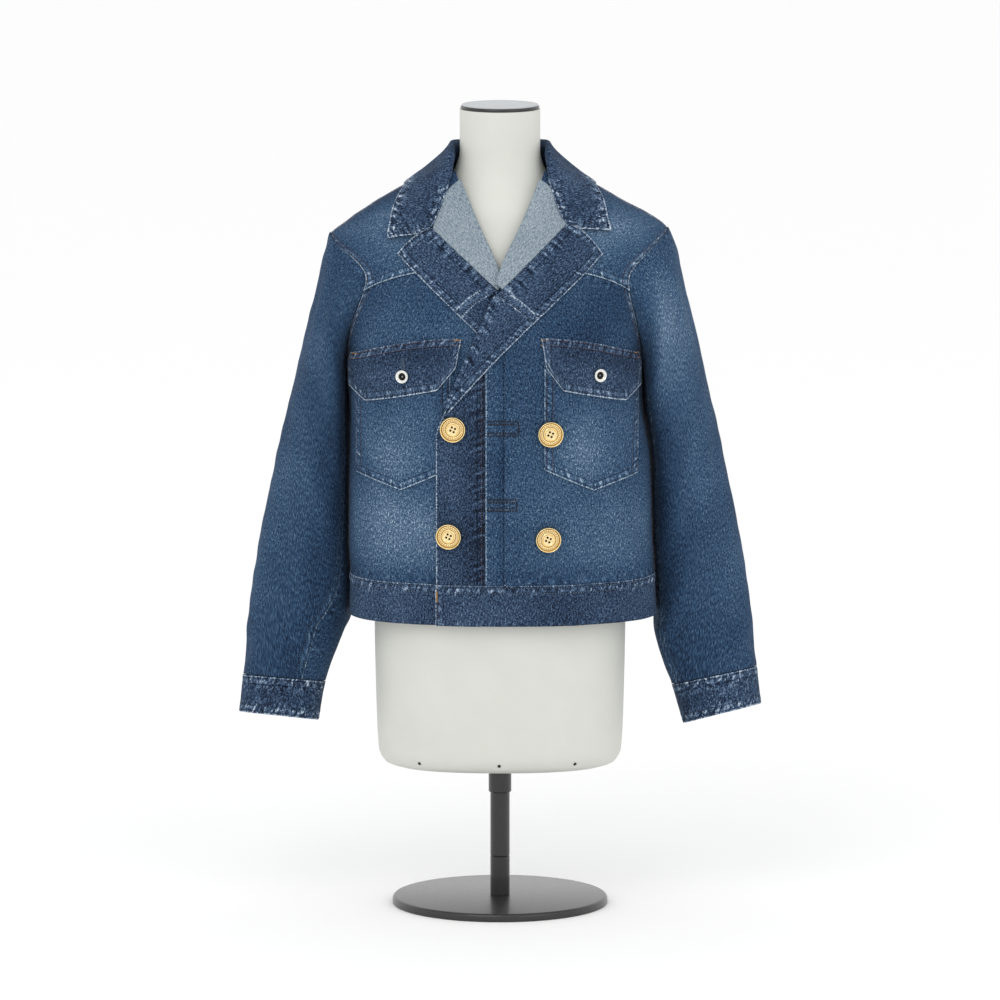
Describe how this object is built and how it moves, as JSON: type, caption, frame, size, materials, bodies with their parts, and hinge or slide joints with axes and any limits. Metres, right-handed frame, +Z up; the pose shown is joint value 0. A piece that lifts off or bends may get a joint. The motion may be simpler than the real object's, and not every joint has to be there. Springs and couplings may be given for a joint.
{
  "type": "denim jacket on a dress form",
  "caption": "Cropped double-breasted denim jacket with folded-back lapels and hanging sleeves, on a limbless dress form with a short stand.",
  "frame": {"origin": "on the floor, at the axis of the stand's round base", "axes": "+Z up the stand and the neck; the garment's front faces -Y; the wearer's left is +X"},
  "size_m": [0.6554, 0.2713, 1.0086],
  "materials": {
    "denim": "mid-blue cotton twill, mottled by washing, worn pale along its seams",
    "dark_denim": "the same twill in a darker blue, with pale worn edges and puckered topstitching",
    "reverse_denim": "pale grey-blue reverse side of the twill",
    "gold_metal": "polished pale gold plating",
    "silver_metal": "polished nickel plating",
    "form_skin": "smooth off-white matt skin",
    "black_metal": "black semi-gloss paint",
    "grey_plate": "satin grey lacquer"
  },
  "bodies": {
    "root": {"back_panel": "denim", "back_yoke": "denim", "collar": "dark_denim", "cuff_left": "dark_denim", "cuff_right": "dark_denim", "flap_button_left": "silver_metal", "flap_button_right": "silver_metal", "form_torso": "form_skin", "front_band_left": "dark_denim", "front_band_right": "dark_denim", "front_button_lower_left": "gold_metal", "front_button_lower_right": "gold_metal", "front_button_upper_left": "gold_metal", "front_button_upper_right": "gold_metal", "front_panel_left": "denim", "front_panel_right": "denim", "front_yoke_left": "denim", "front_yoke_right": "denim", "lapel_band_left": "dark_denim", "lapel_band_right": "dark_denim", "lapel_left": "reverse_denim", "lapel_right": "reverse_denim", "neck_cap": "black_metal", "neck_plate": "grey_plate", "pleat_left": "denim", "pocket_flap_left": "dark_denim", "pocket_flap_right": "dark_denim", "pocket_left": "denim", "pocket_right": "denim", "sleeve_under_left": "denim", "sleeve_under_right": "denim", "sleeve_upper_left": "denim", "sleeve_upper_right": "denim", "stand_base": "black_metal", "stand_socket": "black_metal", "stand_tube": "black_metal", "waistband": "dark_denim"}
  },
  "joints": []
}
